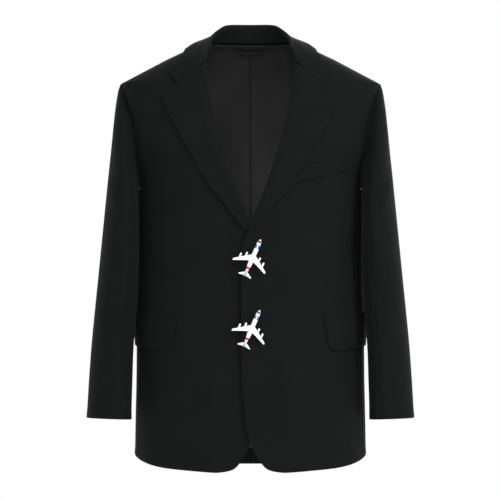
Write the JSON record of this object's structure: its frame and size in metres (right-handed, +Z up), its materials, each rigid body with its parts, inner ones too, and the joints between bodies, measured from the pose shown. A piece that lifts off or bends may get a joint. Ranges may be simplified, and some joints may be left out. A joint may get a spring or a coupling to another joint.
{
  "type": "single-breasted tailored jacket",
  "caption": "Black tailored jacket in worn, hollow form: notch lapels, flap pockets, breast pocket welt and white toy jet aeroplane buttons on a buttoned front",
  "frame": {"origin": "at the neck base between the shoulders, where the wearer carries the jacket", "axes": "+Z up, -Y the front of the jacket, +X the wearer's left"},
  "size_m": [0.614, 0.2917, 0.839],
  "materials": {
    "wool": "matte black wool suiting",
    "collar_band": "matte black wool suiting",
    "lining": "dark grey satin lining",
    "loop": "dark tape",
    "enamel": "glossy white enamel on cast metal"
  },
  "bodies": {
    "root": {"front_left": "wool", "front_right": "wool", "side_panel_left": "wool", "side_panel_right": "wool", "back_left": "wool", "back_right": "wool", "lining_back_left": "lining", "lining_back_right": "lining", "upper_sleeve_left": "wool", "upper_sleeve_right": "wool", "under_sleeve_left": "wool", "under_sleeve_right": "wool", "lapel_left": "wool", "lapel_right": "wool", "pocket_flap_left": "wool", "pocket_flap_right": "wool", "pocket_jet_left": "wool", "pocket_jet_right": "wool", "collar": "collar_band", "breast_welt": "wool", "hanger_loop": "loop", "plane_button_upper": "enamel", "plane_button_lower": "enamel"}
  },
  "joints": []
}
